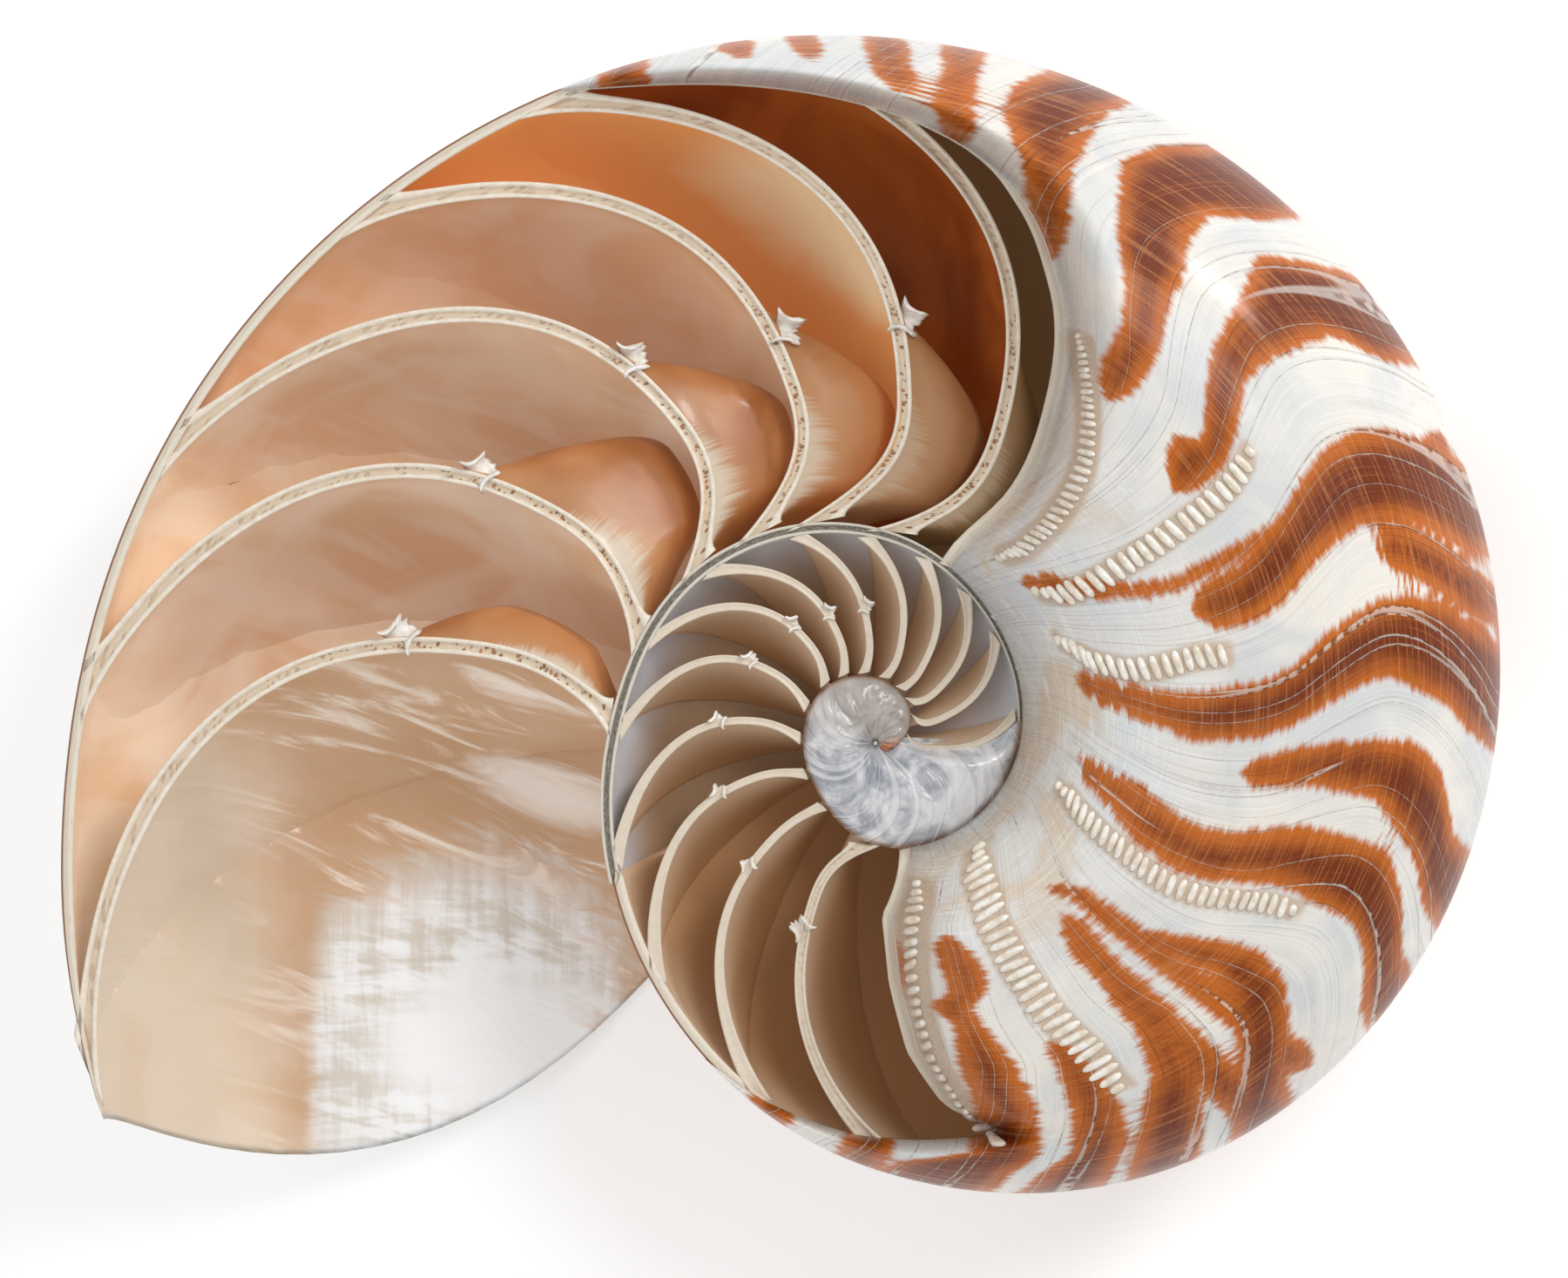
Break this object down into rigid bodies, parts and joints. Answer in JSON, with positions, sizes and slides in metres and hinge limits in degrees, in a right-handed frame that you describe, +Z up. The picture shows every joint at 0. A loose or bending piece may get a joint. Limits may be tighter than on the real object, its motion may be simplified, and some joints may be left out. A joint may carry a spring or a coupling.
{
  "type": "nautilus shell half",
  "caption": "Sawn half of a chambered spiral sea shell with curved dividing walls, a pearly mouth chamber and a striped outer wall, lying with its cut face up",
  "frame": {"origin": "middle of the bounding box, on the surface the shell lies on", "axes": "+Z up, +X across the shell from the open mouth towards the striped side, +Y from the low side of the coil towards its top; the saw cut leans 7.4 degrees off level"},
  "size_m": [0.1498, 0.1212, 0.0473],
  "materials": {
    "shell": "pearly aragonite, polished inside and at the saw cut, ivory with rust brown stripes outside"
  },
  "bodies": {
    "root": {"shell": "shell"}
  },
  "joints": []
}
